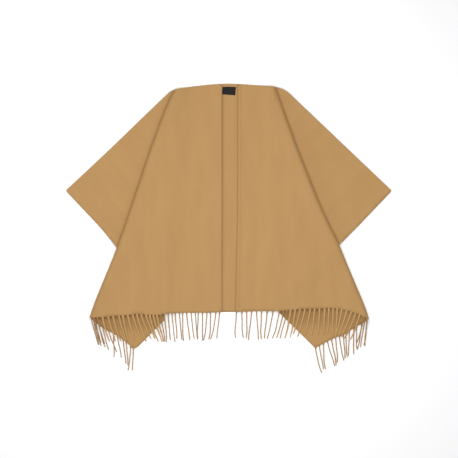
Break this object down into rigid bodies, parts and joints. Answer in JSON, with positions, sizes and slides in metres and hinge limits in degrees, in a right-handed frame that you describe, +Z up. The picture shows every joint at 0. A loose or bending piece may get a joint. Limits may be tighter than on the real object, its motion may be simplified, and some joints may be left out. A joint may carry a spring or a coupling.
{
  "type": "fringe poncho",
  "caption": "Blanket-cloth poncho laid flat, open down the front, both sides pleated under, with twisted fringe along the front hems and folded corners.",
  "frame": {"origin": "on the floor plane under the cloth, at the middle of the outline's width and length", "axes": "+Z up away from the floor, out of the front of the garment; +Y towards the neck; +X towards the side that is on the right of the picture, which is the wearer's left"},
  "size_m": [1.1244, 1.0016, 0.0131],
  "materials": {
    "camel_cloth_back": "brushed camel wool and cashmere cloth",
    "camel_cloth_left": "brushed camel wool and cashmere cloth",
    "camel_cloth_right": "brushed camel wool and cashmere cloth",
    "black_woven_label": "woven satin label, bare",
    "camel_yarn_left_front": "twisted wool yarn",
    "camel_yarn_right_front": "twisted wool yarn",
    "camel_yarn_left_corner": "twisted wool yarn",
    "camel_yarn_right_corner": "twisted wool yarn"
  },
  "bodies": {
    "root": {"back": "camel_cloth_back", "left_front": "camel_cloth_left", "right_front": "camel_cloth_right", "neck_label": "black_woven_label", "left_front_fringe": "camel_yarn_left_front", "right_front_fringe": "camel_yarn_right_front", "left_corner_fringe": "camel_yarn_left_corner", "right_corner_fringe": "camel_yarn_right_corner"}
  },
  "joints": []
}
